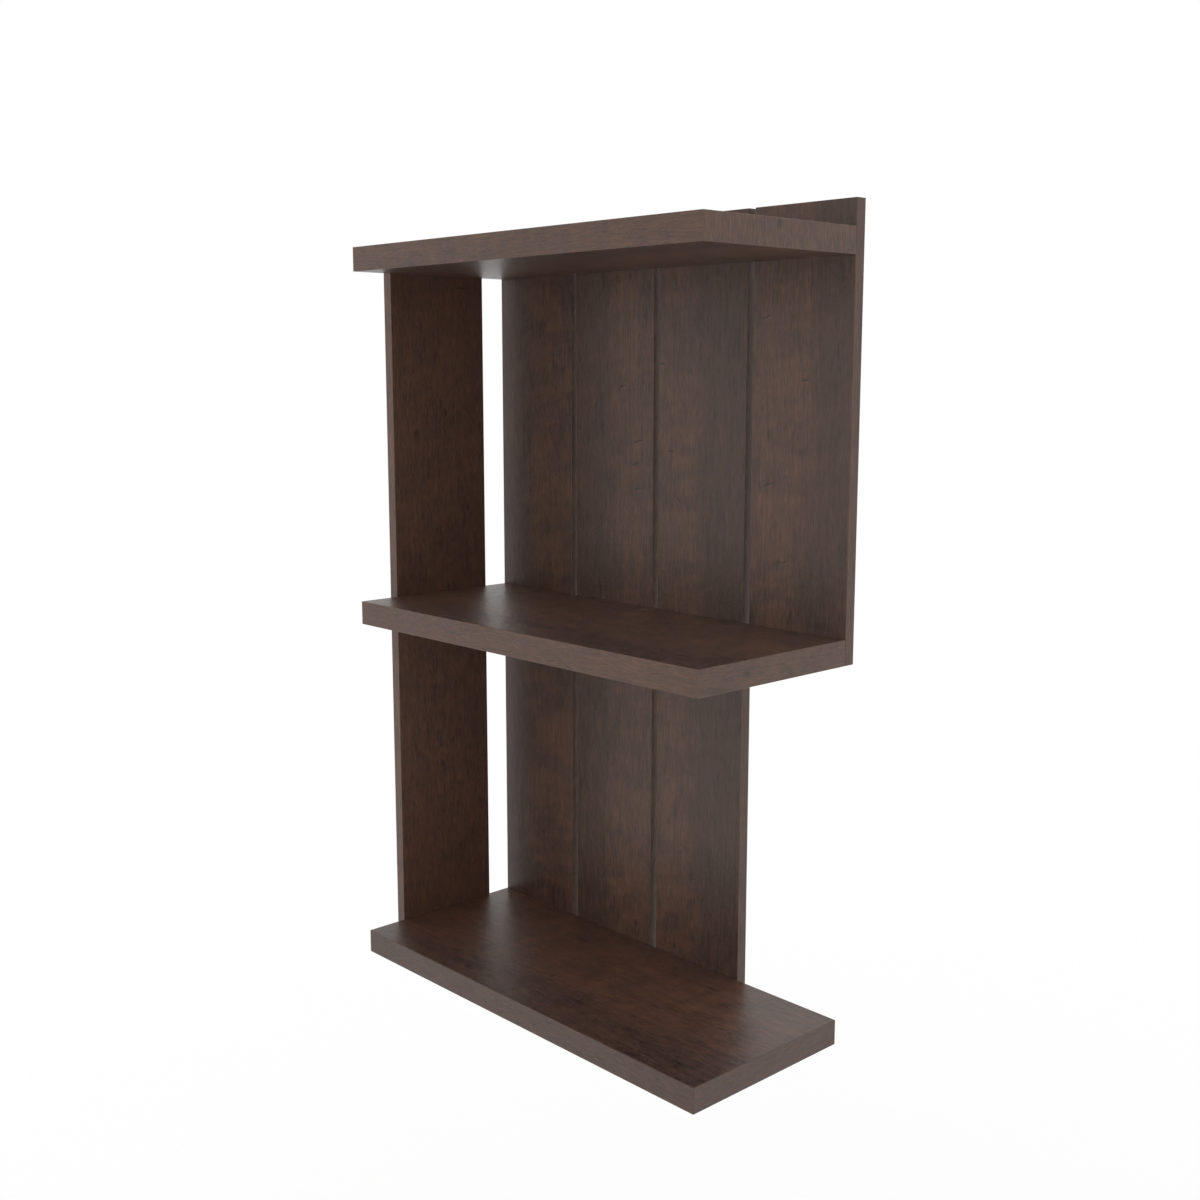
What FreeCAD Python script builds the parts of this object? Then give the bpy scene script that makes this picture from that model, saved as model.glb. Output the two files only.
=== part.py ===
import FreeCAD, Part
import math
import os
import Sketcher

# Wall shelf: three thick shelves on a back of four spaced planks and one side plank.
# Millimetres. +Z is up, +X is right seen from the front and +Y points into the wall.
# The wall plane is y = 0, and the origin lies midway between the two keyhole hangers.

SIZES = (
    # Shelves: a veneered core with a veneer band on each of its four edges
    ("shelf_length", 508.0),
    ("shelf_depth", 203.2),
    ("shelf_thickness", 25.4),
    ("shelf_pitch", 381.0),
    ("band_thickness", 1.0),
    # Planks: four behind the shelves, one outside their left ends
    ("plank_thickness", 12.7),
    ("plank_gap", 7.94),
    ("plank_rise", 25.4),
    ("side_plank_width", 127.0),
    ("side_plank_gap", 28.6),
    ("arris_radius", 0.5),
    # Countersunk screws through the planks into the shelf edges
    ("screw_length", 44.0),
    ("screw_diameter", 4.2),
    ("screw_tip", 6.0),
    ("screw_head", 8.0),
    ("screw_rim", 0.3),
    ("screw_sink", 0.2),
    ("screw_inset", 30.0),
    ("drive_span", 4.6),
    ("drive_width", 1.1),
    ("drive_depth", 1.6),
    # Fluted dowels beside the screws
    ("dowel_diameter", 8.0),
    ("dowel_length", 25.0),
    ("dowel_chamfer", 0.8),
    ("dowel_flute", 0.7),
    ("blind_skin", 4.0),
    # Caps over the side plank's screws
    ("cap_diameter", 10.0),
    ("cap_thickness", 2.2),
    ("cap_chamfer", 0.4),
    # Keyhole hangers let into the backs of the outer planks
    ("hanger_spacing", 406.4),
    ("hanger_drop", 88.9),
    ("hanger_width", 15.9),
    ("hanger_height", 50.8),
    ("hanger_thickness", 2.0),
    ("keyhole_entry", 9.5),
    ("keyhole_slot", 5.0),
    ("keyhole_travel", 9.5),
    ("keyhole_room", 0.75),
    ("keyhole_hollow", 6.0),
    ("hanger_screw_length", 9.5),
    ("hanger_screw_diameter", 3.0),
    ("hanger_screw_tip", 3.0),
    ("hanger_screw_head", 5.6),
    ("hanger_screw_rim", 0.2),
    ("hanger_drive_span", 3.0),
    ("hanger_drive_width", 0.8),
    ("hanger_drive_depth", 0.9),
    # Fits, on the diameter except where an end is named
    ("shank_clearance", 0.3),
    ("thread_clearance", 0.1),
    ("head_clearance", 0.1),
    ("dowel_clearance", 0.1),
    ("cap_clearance", 0.1),
    ("hanger_clearance", 0.4),
    ("end_clearance", 0.5),
)
SHELF_NAMES = ("bottom_shelf", "middle_shelf", "top_shelf")
PLANK_NAMES = ("left_back_plank", "left_centre_back_plank", "right_centre_back_plank", "right_back_plank")
PLANK_BOTTOM_SHELF = (0, 0, 0, 1)
COUNTERSINK_ANGLE = 90.0
FLUTE_COUNT = 12

doc = FreeCAD.newDocument("wall_shelf")
sheet = doc.addObject("Spreadsheet::Sheet", "Sizes")
for row, (alias, value) in enumerate(SIZES, start=1):
    sheet.set(f"A{row}", alias)
    sheet.set(f"B{row}", str(value))
    sheet.setAlias(f"B{row}", alias)
doc.recompute()

# Places and sizes that follow from the sheet
plank_width = f"((Sizes.shelf_length - {len(PLANK_NAMES) - 1} * Sizes.plank_gap) / {len(PLANK_NAMES)})"
plank_step = f"({plank_width} + Sizes.plank_gap)"
side_plank_length = f"({len(SHELF_NAMES) - 1} * Sizes.shelf_pitch + Sizes.shelf_thickness)"
base_z = f"(Sizes.hanger_drop - Sizes.plank_rise - {side_plank_length})"
left_x = "(-Sizes.shelf_length / 2)"
shelf_front_y = "(-Sizes.plank_thickness - Sizes.shelf_depth)"
side_plank_y = "(Sizes.shelf_depth - Sizes.side_plank_gap - Sizes.side_plank_width)"
half_thickness = "(Sizes.shelf_thickness / 2)"
dowel_seat = "(Sizes.plank_thickness - Sizes.blind_skin)"
dowel_in_shelf = f"(Sizes.dowel_length - {dowel_seat} + 2 * Sizes.end_clearance)"
dowel_bore = "(Sizes.dowel_diameter + Sizes.dowel_clearance)"
cap_seat = "(Sizes.cap_thickness + Sizes.cap_clearance)"
screw_pilot = "(Sizes.screw_diameter + Sizes.thread_clearance)"
screw_shank_hole = "(Sizes.screw_diameter + Sizes.shank_clearance)"
screw_countersink = "(Sizes.screw_head + 2 * (Sizes.screw_sink + Sizes.screw_rim) + Sizes.head_clearance)"
screw_in_shelf = "(Sizes.screw_length + Sizes.screw_sink - Sizes.plank_thickness + Sizes.end_clearance)"
hanger_end = "((Sizes.hanger_height - Sizes.hanger_width) / 2)"
hanger_low = f"(Sizes.keyhole_travel / 2 - {hanger_end})"
hanger_high = f"(Sizes.keyhole_travel / 2 + {hanger_end})"
nodes = []


def shelf_z(level):
    return f"({base_z} + {level} * Sizes.shelf_pitch)"


def plank_x(number):
    return f"({left_x} + {number} * {plank_step})"


def screw_columns(width):
    return ("Sizes.screw_inset", f"({width} - Sizes.screw_inset)")


def place(item, x, y, z):
    for axis, expression in zip("xyz", (x, y, z)):
        item.setExpression(f"Placement.Base.{axis}", expression)


def new_body(label, x="0", y="0", z="0"):
    body = doc.addObject("PartDesign::Body", label)
    place(body, x, y, z)
    return body


# Sketches: each point is held at its two distances from the sketch origin
def new_sketch(body, name, plane, offset="0"):
    sketch = body.newObject("Sketcher::SketchObject", name)
    support = next(item for item in body.Origin.OriginFeatures if item.Role == plane)
    sketch.AttachmentSupport = [(support, "")]
    sketch.MapMode = "FlatFace"
    # The XZ plane faces -Y, so a step towards +Y is negative there
    sign = "-" if plane == "XZ_Plane" else ""
    sketch.setExpression("AttachmentOffset.Base.z", f"{sign}({offset})")
    return sketch


def valued(sketch, point):
    return FreeCAD.Vector(*(float(sketch.evalExpression(part)) for part in point), 0)


def hold(sketch, kind, references, expression):
    value = float(sketch.evalExpression(expression))
    number = sketch.addConstraint(Sketcher.Constraint(kind, *references, value))
    sketch.setExpression(f"Constraints[{number}]", expression)


def hold_point(sketch, geometry, end, point):
    hold(sketch, "DistanceX", (-1, 1, geometry, end), point[0])
    hold(sketch, "DistanceY", (-1, 1, geometry, end), point[1])


def draw_polygon(sketch, points):
    corners = [valued(sketch, point) for point in points]
    for start, end in zip(corners, corners[1:] + corners[:1]):
        sketch.addGeometry(Part.LineSegment(start, end))
    for line, point in enumerate(points):
        sketch.addConstraint(Sketcher.Constraint("Coincident", line, 2, (line + 1) % len(points), 1))
        hold_point(sketch, line, 1, point)


def draw_circles(sketch, points, diameter):
    radius = float(sketch.evalExpression(diameter)) / 2
    for point in points:
        circle = sketch.addGeometry(Part.Circle(valued(sketch, point), FreeCAD.Vector(0, 0, 1), radius))
        hold_point(sketch, circle, 3, point)
        hold(sketch, "Diameter", (circle,), diameter)


def draw_upright_slot(sketch, x, low, high, diameter):
    # Two half circles, one at each end, joined by two upright lines
    radius = float(sketch.evalExpression(diameter)) / 2
    upward = FreeCAD.Vector(0, 0, 1)
    bottom, top = valued(sketch, (x, low)), valued(sketch, (x, high))
    side = FreeCAD.Vector(radius, 0, 0)
    top_circle, bottom_circle = Part.Circle(top, upward, radius), Part.Circle(bottom, upward, radius)
    top_arc = sketch.addGeometry(Part.ArcOfCircle(top_circle, 0, math.pi))
    left_line = sketch.addGeometry(Part.LineSegment(top - side, bottom - side))
    bottom_arc = sketch.addGeometry(Part.ArcOfCircle(bottom_circle, math.pi, 2 * math.pi))
    right_line = sketch.addGeometry(Part.LineSegment(bottom + side, top + side))
    sketch.addConstraint(Sketcher.Constraint("Tangent", top_arc, 2, left_line, 1))
    sketch.addConstraint(Sketcher.Constraint("Tangent", left_line, 2, bottom_arc, 1))
    sketch.addConstraint(Sketcher.Constraint("Tangent", bottom_arc, 2, right_line, 1))
    sketch.addConstraint(Sketcher.Constraint("Tangent", right_line, 2, top_arc, 1))
    hold_point(sketch, top_arc, 3, (x, high))
    hold(sketch, "DistanceY", (-1, 1, bottom_arc, 3), low)
    hold(sketch, "Diameter", (top_arc,), diameter)


# Features
def pad(body, sketch, length):
    feature = body.newObject("PartDesign::Pad", f"{sketch.Name}_pad")
    feature.Profile = sketch
    feature.setExpression("Length", length)
    doc.recompute()
    return feature


def pocket(body, sketch, depth, inward=True):
    # Inward cuts follow the sketch's normal, into a board that lies on that side
    feature = body.newObject("PartDesign::Pocket", f"{sketch.Name}_pocket")
    feature.Profile = sketch
    feature.Reversed = inward
    feature.setExpression("Length", depth)
    doc.recompute()
    return feature


def bore(body, name, plane, offset, points, diameter, depth, inward=True):
    sketch = new_sketch(body, name, plane, offset)
    draw_circles(sketch, points, diameter)
    return pocket(body, sketch, depth, inward)


def countersunk_holes(body, name, plane, offset, points, diameter, sink_diameter, depth):
    sketch = new_sketch(body, name, plane, offset)
    draw_circles(sketch, points, diameter)
    doc.recompute()
    hole = body.newObject("PartDesign::Hole", f"{name}_hole")
    hole.Profile = sketch
    hole.Threaded = False
    hole.DepthType = "Dimension"
    hole.DrillPoint = "Flat"
    hole.HoleCutType = "Countersink"
    hole.HoleCutCountersinkAngle = COUNTERSINK_ANGLE
    hole.Reversed = True
    hole.setExpression("Diameter", diameter)
    hole.setExpression("HoleCutDiameter", sink_diameter)
    hole.setExpression("Depth", depth)
    doc.recompute()
    return hole


def soften(body, chosen):
    # Rounds the arrises that the test picks
    base = body.Tip
    names = [f"Edge{number}" for number, edge in enumerate(base.Shape.Edges, start=1) if chosen(edge)]
    fillet = body.newObject("PartDesign::Fillet", f"{body.Name}_arris")
    fillet.Base = (base, names)
    fillet.setExpression("Radius", "Sizes.arris_radius")
    doc.recompute()


def runs_back(edge):
    return edge.BoundBox.YLength > edge.BoundBox.XLength + edge.BoundBox.ZLength


def turn_round(body, name, feature, count, angle):
    axis = next(item for item in body.Origin.OriginFeatures if item.Role == "Z_Axis")
    pattern = body.newObject("PartDesign::PolarPattern", name)
    pattern.Originals = [feature]
    pattern.Axis = (axis, [""])
    pattern.Angle = angle
    pattern.Occurrences = count
    body.Tip = pattern
    doc.recompute()


def slab(label, corner, low, high, height):
    body = new_body(label, *corner)
    sketch = new_sketch(body, f"{label}_outline", "XY_Plane")
    draw_polygon(sketch, [low, (high[0], low[1]), high, (low[0], high[1])])
    pad(body, sketch, height)
    return body


def turned(label, profile):
    # A profile of radii and heights, turned about the Z axis
    body = new_body(label)
    sketch = new_sketch(body, f"{label}_profile", "XZ_Plane")
    draw_polygon(sketch, profile)
    feature = body.newObject("PartDesign::Revolution", f"{label}_turned")
    feature.Profile = sketch
    feature.ReferenceAxis = (sketch, ["V_Axis"])
    feature.Angle = 360.0
    doc.recompute()
    return body


def copies(label, master, turn, places):
    # Equal pieces share one node: each copy is a link with its own place
    links = []
    for number, spot in enumerate(places, start=1):
        link = doc.addObject("App::Link", f"{label}_{number}")
        link.LinkedObject = master
        link.Placement = FreeCAD.Placement(FreeCAD.Vector(), turn)
        place(link, *spot)
        links.append(link)
    group = doc.addObject("Part::Compound", label)
    group.Links = links
    doc.recompute()
    nodes.append(group)


def countersunk_screw(label, size, drive):
    # The head's flat face is at the local origin and the point lies below it
    head, shank = f"(Sizes.{size}_head / 2)", f"(Sizes.{size}_diameter / 2)"
    rim, length = f"Sizes.{size}_rim", f"Sizes.{size}_length"
    neck = f"(-{rim} - {head} + {shank})"
    body = turned(label, [
        ("0", f"(-{length})"),
        (shank, f"(Sizes.{size}_tip - {length})"),
        (shank, neck),
        (head, f"(-{rim})"),
        (head, "0"),
        ("0", "0"),
    ])
    span, width = f"(Sizes.{drive}_span / 2)", f"(Sizes.{drive}_width / 2)"
    sketch = new_sketch(body, f"{label}_drive", "XY_Plane")
    draw_polygon(sketch, [
        (f"(-{span})", f"(-{width})"),
        (span, f"(-{width})"),
        (span, width),
        (f"(-{span})", width),
    ])
    slot = pocket(body, sketch, f"Sizes.{drive}_depth", inward=False)
    turn_round(body, f"{label}_cross", slot, 2, 90.0)
    return body


# Where the fasteners cross the joints, counted from each board's own lower corner
def plank_levels(number):
    return range(PLANK_BOTTOM_SHELF[number], len(SHELF_NAMES))


def shelf_planks(level):
    return [number for number in range(len(PLANK_NAMES)) if PLANK_BOTTOM_SHELF[number] <= level]


def shelf_points(level, columns):
    points = []
    for number in shelf_planks(level):
        points += [(f"({number} * {plank_step} + {column})", half_thickness) for column in columns]
    return points


def side_points(columns):
    return [(f"({side_plank_y} + {column})", half_thickness) for column in columns]


back_screw_columns = screw_columns(plank_width)
side_screw_columns = screw_columns("Sizes.side_plank_width")
back_dowel_columns = (f"({plank_width} / 2)",)
side_dowel_columns = ("(Sizes.side_plank_width / 2)",)
screw_in_shelf_end = f"({screw_in_shelf} + {cap_seat})"


def drill_shelf_back(body, level):
    screws = shelf_points(level, back_screw_columns)
    dowels = shelf_points(level, back_dowel_columns)
    bore(body, f"{body.Name}_back_pilots", "XZ_Plane", "Sizes.shelf_depth", screws,
         screw_pilot, screw_in_shelf)
    bore(body, f"{body.Name}_back_dowels", "XZ_Plane", "Sizes.shelf_depth", dowels,
         dowel_bore, dowel_in_shelf)


def drill_shelf_end(body):
    bore(body, f"{body.Name}_end_pilots", "YZ_Plane", "0", side_points(side_screw_columns),
         screw_pilot, screw_in_shelf_end)
    bore(body, f"{body.Name}_end_dowel", "YZ_Plane", "0", side_points(side_dowel_columns),
         dowel_bore, dowel_in_shelf)


def make_shelf(level):
    name = SHELF_NAMES[level]
    corner = (left_x, shelf_front_y, shelf_z(level))
    band, height = "Sizes.band_thickness", "Sizes.shelf_thickness"
    inner_x, inner_y = f"(Sizes.shelf_length - {band})", f"(Sizes.shelf_depth - {band})"
    core = slab(name, corner, (band, band), (inner_x, inner_y), height)
    drill_shelf_back(core, level)
    drill_shelf_end(core)
    # The front and rear bands run the full length, and the end bands fit between them
    outer_x, outer_y = "Sizes.shelf_length", "Sizes.shelf_depth"
    front = slab(f"{name}_front_band", corner, ("0", "0"), (outer_x, band), height)
    rear = slab(f"{name}_rear_band", corner, ("0", inner_y), (outer_x, outer_y), height)
    left = slab(f"{name}_left_band", corner, ("0", band), (band, inner_y), height)
    right = slab(f"{name}_right_band", corner, (inner_x, band), (outer_x, inner_y), height)
    # Every arris is rounded that glue doesn't cover
    half_band = sheet.band_thickness / 2
    soften(front, lambda edge: edge.BoundBox.YMin < half_band)
    soften(rear, lambda edge: edge.BoundBox.YMax > sheet.shelf_depth - half_band)
    soften(left, lambda edge: runs_back(edge) and edge.BoundBox.XMax < half_band)
    soften(right, lambda edge: runs_back(edge) and edge.BoundBox.XMin > sheet.shelf_length - half_band)
    drill_shelf_back(rear, level)
    drill_shelf_end(left)
    nodes.extend((core, front, rear, left, right))


def make_back_plank(number):
    name = PLANK_NAMES[number]
    lowest = PLANK_BOTTOM_SHELF[number]
    length = f"({side_plank_length} + Sizes.plank_rise - {lowest} * Sizes.shelf_pitch)"
    corner = (plank_x(number), "(-Sizes.plank_thickness)", shelf_z(lowest))
    plank = slab(name, corner, ("0", "0"), (plank_width, "Sizes.plank_thickness"), length)
    soften(plank, lambda edge: True)
    heights = [f"({level - lowest} * Sizes.shelf_pitch + {half_thickness})" for level in plank_levels(number)]
    screws = [(column, height) for height in heights for column in back_screw_columns]
    dowels = [(column, height) for height in heights for column in back_dowel_columns]
    countersunk_holes(plank, f"{name}_screw_holes", "XZ_Plane", "Sizes.plank_thickness", screws,
                      screw_shank_hole, screw_countersink, "Sizes.plank_thickness")
    bore(plank, f"{name}_dowel_holes", "XZ_Plane", "0", dowels, dowel_bore, dowel_seat, inward=False)
    nodes.append(plank)
    return plank


def let_in_hanger(plank, number, hanger_x):
    # A shallow seat takes the plate, and a hollow behind it takes the wall screw's head
    x = f"({hanger_x} - {plank_x(number)})"
    entry = f"(-{shelf_z(PLANK_BOTTOM_SHELF[number])})"
    back = "Sizes.plank_thickness"
    seat = new_sketch(plank, f"{plank.Name}_seat", "XZ_Plane", back)
    draw_upright_slot(seat, x, f"({entry} + {hanger_low})", f"({entry} + {hanger_high})",
                      "(Sizes.hanger_width + Sizes.hanger_clearance)")
    pocket(plank, seat, "Sizes.hanger_thickness")
    hollow = new_sketch(plank, f"{plank.Name}_hollow", "XZ_Plane", back)
    draw_upright_slot(hollow, x, entry, f"({entry} + Sizes.keyhole_travel)",
                      "(Sizes.keyhole_entry + 2 * Sizes.keyhole_room)")
    pocket(plank, hollow, "(Sizes.hanger_thickness + Sizes.keyhole_hollow)")
    pilots = [(x, f"({entry} + {height})") for height in (hanger_low, hanger_high)]
    bore(plank, f"{plank.Name}_hanger_pilots", "XZ_Plane", back, pilots,
         "(Sizes.hanger_screw_diameter + Sizes.thread_clearance)",
         "(Sizes.hanger_screw_length + Sizes.end_clearance)")


def make_hanger(label, x):
    plate = new_body(label, x)
    outline = new_sketch(plate, f"{label}_outline", "XZ_Plane")
    draw_upright_slot(outline, "0", hanger_low, hanger_high, "Sizes.hanger_width")
    pad(plate, outline, "Sizes.hanger_thickness")
    bore(plate, f"{label}_entry", "XZ_Plane", "0", [("0", "0")], "Sizes.keyhole_entry",
         "Sizes.hanger_thickness")
    slot = new_sketch(plate, f"{label}_slot", "XZ_Plane")
    draw_upright_slot(slot, "0", "0", "Sizes.keyhole_travel", "Sizes.keyhole_slot")
    pocket(plate, slot, "Sizes.hanger_thickness")
    countersunk_holes(plate, f"{label}_screw_holes", "XZ_Plane", "0", [("0", hanger_low), ("0", hanger_high)],
                      "(Sizes.hanger_screw_diameter + Sizes.shank_clearance)",
                      "(Sizes.hanger_screw_head + 2 * Sizes.hanger_screw_rim + Sizes.head_clearance)",
                      "Sizes.hanger_thickness")
    nodes.append(plate)


def make_side_plank():
    corner = (f"({left_x} - Sizes.plank_thickness)", f"({shelf_front_y} + {side_plank_y})", base_z)
    plank = slab("side_plank", corner, ("0", "0"), ("Sizes.plank_thickness", "Sizes.side_plank_width"),
                 side_plank_length)
    soften(plank, lambda edge: True)
    heights = [f"({level} * Sizes.shelf_pitch + {half_thickness})" for level in range(len(SHELF_NAMES))]
    screws = [(column, height) for height in heights for column in side_screw_columns]
    dowels = [(column, height) for height in heights for column in side_dowel_columns]
    bore(plank, "side_plank_cap_seats", "YZ_Plane", "0", screws,
         "(Sizes.cap_diameter + Sizes.cap_clearance)", cap_seat)
    countersunk_holes(plank, "side_plank_screw_holes", "YZ_Plane", cap_seat, screws,
                      screw_shank_hole, screw_countersink, f"(Sizes.plank_thickness - {cap_seat})")
    bore(plank, "side_plank_dowel_holes", "YZ_Plane", "Sizes.plank_thickness", dowels,
         dowel_bore, dowel_seat, inward=False)
    nodes.append(plank)


def make_dowel():
    body = new_body("dowel")
    sketch = new_sketch(body, "dowel_round", "XY_Plane")
    draw_circles(sketch, [("0", "0")], "Sizes.dowel_diameter")
    rod = pad(body, sketch, "Sizes.dowel_length")
    chamfer = body.newObject("PartDesign::Chamfer", "dowel_ends")
    rims = [f"Edge{number}" for number, edge in enumerate(rod.Shape.Edges, start=1) if edge.isClosed()]
    chamfer.Base = (rod, rims)
    chamfer.setExpression("Size", "Sizes.dowel_chamfer")
    doc.recompute()
    flute = bore(body, "dowel_flutes", "XY_Plane", "0", [("(Sizes.dowel_diameter / 2)", "0")],
                 "Sizes.dowel_flute", "Sizes.dowel_length")
    turn_round(body, "dowel_flute_ring", flute, FLUTE_COUNT, 360.0)
    return body


def make_cap():
    radius, chamfer = "(Sizes.cap_diameter / 2)", "Sizes.cap_chamfer"
    return turned("cap", [
        ("0", "(-Sizes.cap_thickness)"),
        (radius, "(-Sizes.cap_thickness)"),
        (radius, f"(-{chamfer})"),
        (f"({radius} - {chamfer})", "0"),
        ("0", "0"),
    ])


# Fasteners point forwards out of the back planks and right out of the side plank
def place_fasteners():
    screw = countersunk_screw("screw", "screw", "drive")
    hanger_screw = countersunk_screw("hanger_screw", "hanger_screw", "hanger_drive")
    dowel, cap = make_dowel(), make_cap()
    x_axis, y_axis = FreeCAD.Vector(1, 0, 0), FreeCAD.Vector(0, 1, 0)
    head_back, head_left = FreeCAD.Rotation(x_axis, -90), FreeCAD.Rotation(y_axis, -90)
    dowel_front, dowel_right = FreeCAD.Rotation(x_axis, 90), FreeCAD.Rotation(y_axis, 90)
    dowel_depth = "(Sizes.blind_skin + Sizes.end_clearance)"
    side_outer_x = f"({left_x} - Sizes.plank_thickness)"
    side_screws, side_dowels, caps = [], [], []
    for level, name in enumerate(SHELF_NAMES):
        screws, dowels = [], []
        for x, z in shelf_points(level, back_screw_columns):
            screws.append((f"({left_x} + {x})", "(-Sizes.screw_sink)", f"({shelf_z(level)} + {z})"))
        for x, z in shelf_points(level, back_dowel_columns):
            dowels.append((f"({left_x} + {x})", f"(-{dowel_depth})", f"({shelf_z(level)} + {z})"))
        copies(f"{name}_screws", screw, head_back, screws)
        copies(f"{name}_dowels", dowel, dowel_front, dowels)
        for y, z in side_points(side_screw_columns):
            spot = (f"({shelf_front_y} + {y})", f"({shelf_z(level)} + {z})")
            side_screws.append((f"({side_outer_x} + {cap_seat} + Sizes.screw_sink)", *spot))
            caps.append((side_outer_x, *spot))
        for y, z in side_points(side_dowel_columns):
            spot = (f"({shelf_front_y} + {y})", f"({shelf_z(level)} + {z})")
            side_dowels.append((f"({side_outer_x} + {dowel_depth})", *spot))
    copies("side_plank_screws", screw, head_left, side_screws)
    copies("side_plank_dowels", dowel, dowel_right, side_dowels)
    copies("side_plank_screw_caps", cap, head_left, caps)
    hanger_spots = [(x, "0", z) for x in hanger_places for z in (hanger_low, hanger_high)]
    copies("hanger_plate_screws", hanger_screw, head_back, hanger_spots)


def check_model():
    for item in doc.Objects:
        if "Invalid" in item.State or "Error" in item.State:
            raise RuntimeError(f"{item.Label} failed: {item.State}")
        if item.TypeId in ("PartDesign::Pocket", "PartDesign::Hole"):
            if item.BaseFeature.Shape.Volume - item.Shape.Volume <= 0:
                raise RuntimeError(f"{item.Label} cuts nothing")
    for node in nodes:
        if node.Shape.isNull() or not node.Shape.isValid():
            raise RuntimeError(f"{node.Label} has no valid shape")


for shelf_level in range(len(SHELF_NAMES)):
    make_shelf(shelf_level)
back_planks = [make_back_plank(number) for number in range(len(PLANK_NAMES))]
make_side_plank()
hanger_places = ("(-Sizes.hanger_spacing / 2)", "(Sizes.hanger_spacing / 2)")
hanger_planks = (0, len(PLANK_NAMES) - 1)
for hanger_name, hanger_x, plank_number in zip(("left_hanger", "right_hanger"), hanger_places, hanger_planks):
    let_in_hanger(back_planks[plank_number], plank_number, hanger_x)
    make_hanger(hanger_name, hanger_x)
place_fasteners()
doc.recompute()
check_model()

os.makedirs("parts", exist_ok=True)
for node in nodes:
    node.Shape.exportStep(f"parts/{node.Label}.step")
    print(f"{node.Label}: {len(node.Shape.Solids)} solids, {node.Shape.Volume / 1000:.2f} cm3")
print(f"{len(nodes)} nodes")
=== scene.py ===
import math

import bpy
import numpy as np
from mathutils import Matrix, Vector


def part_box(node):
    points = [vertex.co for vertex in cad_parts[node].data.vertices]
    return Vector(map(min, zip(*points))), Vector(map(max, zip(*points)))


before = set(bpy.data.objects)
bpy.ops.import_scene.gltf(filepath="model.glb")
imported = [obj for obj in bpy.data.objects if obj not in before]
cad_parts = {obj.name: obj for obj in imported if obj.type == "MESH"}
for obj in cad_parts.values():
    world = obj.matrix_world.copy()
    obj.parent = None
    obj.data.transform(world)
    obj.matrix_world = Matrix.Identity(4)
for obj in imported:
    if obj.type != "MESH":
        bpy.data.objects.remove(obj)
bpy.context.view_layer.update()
print("frame loaded:", len(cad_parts), "nodes")


# small helpers for the node trees

def addNode(tree, kind, **settings):
    node = tree.nodes.new(kind)
    for key, value in settings.items():
        setattr(node, key, value)
    return node


def feed(tree, socket, value):
    # another node's output is linked, a plain value is set on the socket
    if isinstance(value, bpy.types.NodeSocket):
        tree.links.new(value, socket)
    else:
        socket.default_value = value


def calc(tree, operation, *values):
    node = addNode(tree, "ShaderNodeMath", operation=operation)
    for socket, value in zip(node.inputs, values):
        feed(tree, socket, value)
    return node.outputs[0]


def calcVector(tree, operation, *values):
    node = addNode(tree, "ShaderNodeVectorMath", operation=operation)
    for socket, value in zip(node.inputs, values):
        feed(tree, socket, value)
    return node.outputs["Value" if operation == "LENGTH" else "Vector"]


def scaleVector(tree, vector, factor):
    node = addNode(tree, "ShaderNodeVectorMath", operation="SCALE")
    feed(tree, node.inputs[0], vector)
    feed(tree, node.inputs["Scale"], factor)
    return node.outputs["Vector"]


def splitVector(tree, vector):
    node = addNode(tree, "ShaderNodeSeparateXYZ")
    feed(tree, node.inputs[0], vector)
    return node.outputs


def turnVector(tree, vector, angle, kind, axis=None):
    node = addNode(tree, "ShaderNodeVectorRotate", rotation_type=kind)
    feed(tree, node.inputs["Vector"], vector)
    feed(tree, node.inputs["Angle"], angle)
    if axis:  # only the AXIS_ANGLE kind has this socket
        feed(tree, node.inputs["Axis"], axis)
    return node.outputs["Vector"]


def remap(tree, value, low, high, toLow=0.0, toHigh=1.0, kind="SMOOTHSTEP"):
    node = addNode(tree, "ShaderNodeMapRange", interpolation_type=kind)
    for socket, setting in zip(node.inputs, (value, low, high, toLow, toHigh)):
        feed(tree, socket, setting)
    return node.outputs[0]


def blendColour(tree, factor, first, second):
    # a colour mix node has its two colours at inputs 6 and 7 and the mixed one at output 2
    node = addNode(tree, "ShaderNodeMix", data_type="RGBA")
    feed(tree, node.inputs[0], factor)
    for socket, colour in zip(node.inputs[6:8], (first, second)):
        feed(tree, socket, colour if isinstance(colour, bpy.types.NodeSocket) else (*colour, 1.0))
    return node.outputs[2]


noiseSpan = (0.3, 0.7)  # nearly all of a noise lies between these
noiseMiddle = (0.35, 0.65)  # for a harder change from low to high


def noise(tree, place, size, detail=2.0, roughness=0.5, wanted="Fac"):
    # size: how long, wide and deep one patch of the noise is, in metres
    node = addNode(tree, "ShaderNodeTexNoise")
    feed(tree, node.inputs["Vector"], calcVector(tree, "DIVIDE", place, size))
    node.inputs["Scale"].default_value = 1.0
    node.inputs["Detail"].default_value = detail
    node.inputs["Roughness"].default_value = roughness
    return node.outputs[wanted]


def noiseVector(tree, place, **patch):
    # three noises of their own as one vector, each swinging about zero
    return calcVector(tree, "SUBTRACT", noise(tree, place, wanted="Color", **patch), (0.5, 0.5, 0.5))


def ellipseReach(tree, away, radii):
    # distance from a middle in units of an ellipse: 1 on its outline
    return calcVector(tree, "LENGTH", calcVector(tree, "DIVIDE", away, radii))


def newMaterial(name):
    material = bpy.data.materials.new(name)
    material.use_nodes = True
    tree = material.node_tree
    shader = tree.nodes["Principled BSDF"]
    place = addNode(tree, "ShaderNodeTexCoord").outputs["Object"]
    return material, tree, shader, place


def addBump(tree, shader, height, depth, strength):
    bump = addNode(tree, "ShaderNodeBump")
    bump.inputs["Strength"].default_value = strength
    bump.inputs["Distance"].default_value = depth
    feed(tree, bump.inputs["Height"], height)
    feed(tree, shader.inputs["Normal"], bump.outputs["Normal"])


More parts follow.
